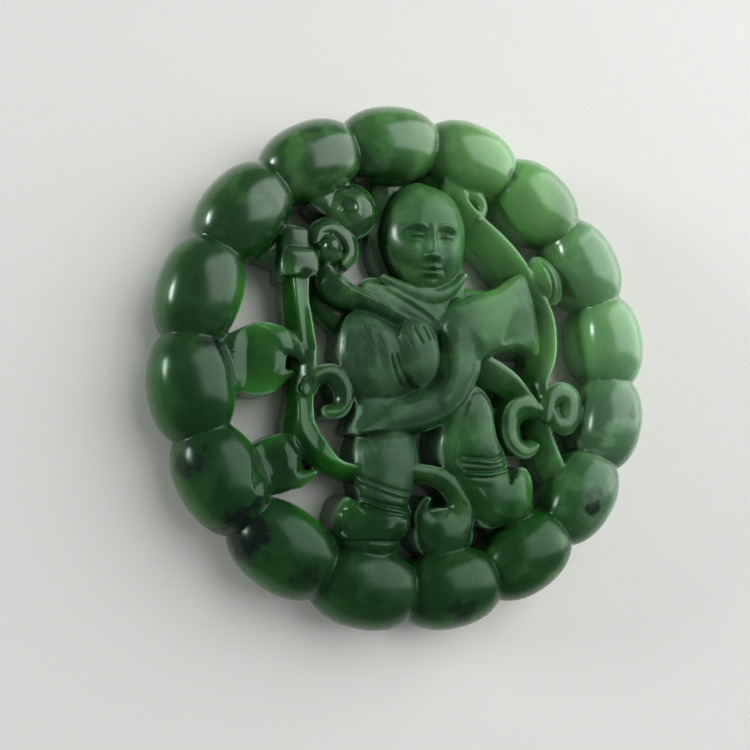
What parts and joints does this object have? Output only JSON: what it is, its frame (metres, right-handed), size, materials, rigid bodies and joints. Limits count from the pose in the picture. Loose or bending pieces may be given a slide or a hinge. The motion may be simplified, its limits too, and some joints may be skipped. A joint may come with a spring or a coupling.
{
  "type": "pierced round jade pendant",
  "caption": "Round pierced pendant carved from one green stone: a robed standing figure among curling stems, inside a ring of olive-shaped beads.",
  "frame": {"origin": "on the flat back, under the middle of the bead ring", "axes": "+Z out of the carved face, square to the flat back; +Y towards the top of the figure's head; +X towards the figure's stretched sleeve"},
  "size_m": [0.048, 0.048, 0.0072],
  "materials": {
    "jade": "polished"
  },
  "bodies": {
    "root": {"pendant": "jade"}
  },
  "joints": []
}
